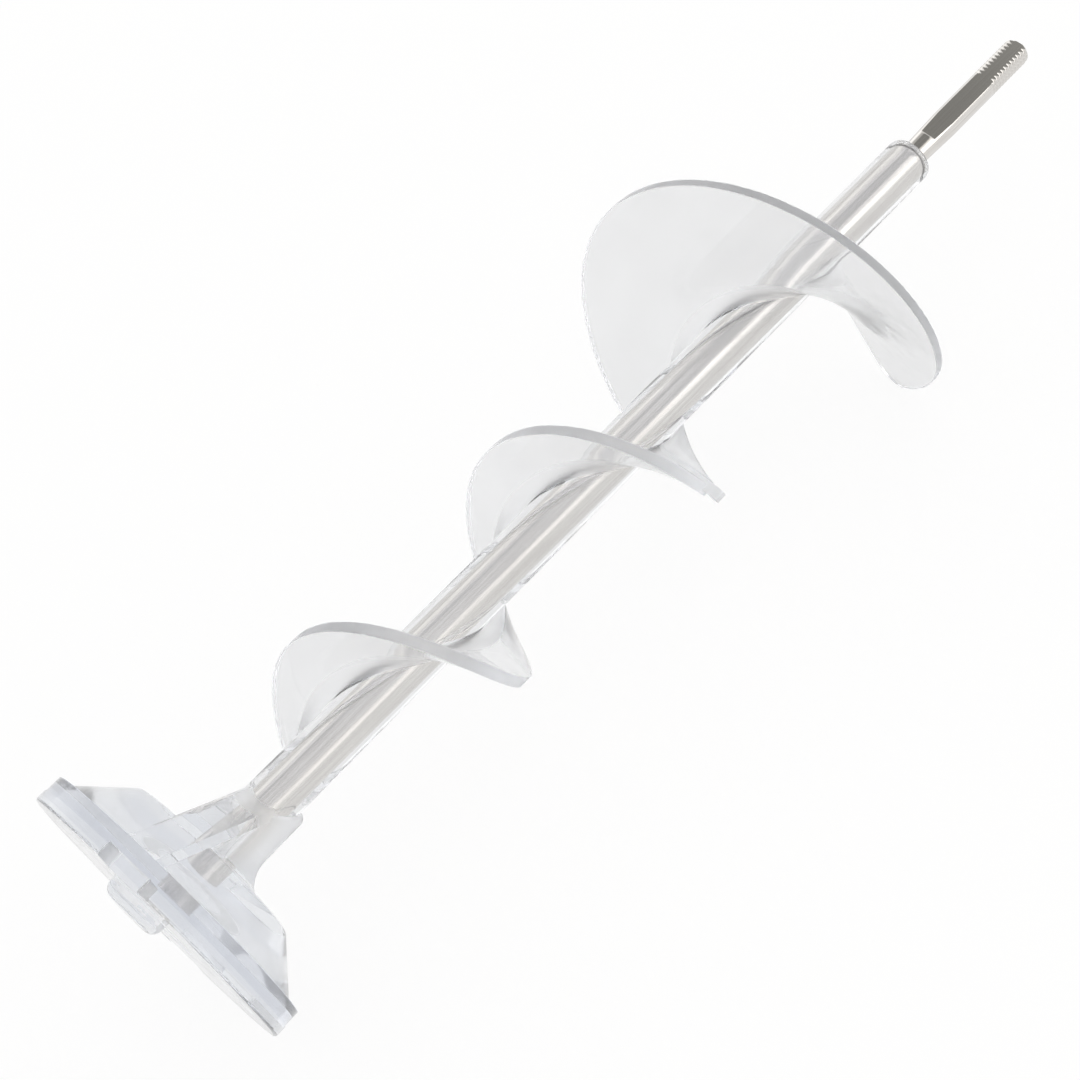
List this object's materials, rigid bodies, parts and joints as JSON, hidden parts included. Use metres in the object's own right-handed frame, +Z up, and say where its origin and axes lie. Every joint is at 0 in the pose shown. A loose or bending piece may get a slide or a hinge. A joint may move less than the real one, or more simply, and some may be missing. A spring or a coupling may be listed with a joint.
{
  "type": "ice maker auger",
  "caption": "Clear plastic ice auger moulded on a steel shaft: coned drive disc, narrow screw flight that widens to a broad blade, and a threaded stud with a flat.",
  "frame": {"origin": "on the floor, under the middle of the bounding box of the auger as it lies", "axes": "+X along the shaft from the drive disc to the threaded stud, +Z up"},
  "size_m": [0.3312, 0.0904, 0.0847],
  "materials": {
    "steel": "plain drawn steel",
    "clear_plastic": "clear, polished"
  },
  "bodies": {
    "root": {"steel_shaft": "steel", "auger_body": "clear_plastic"}
  },
  "joints": []
}
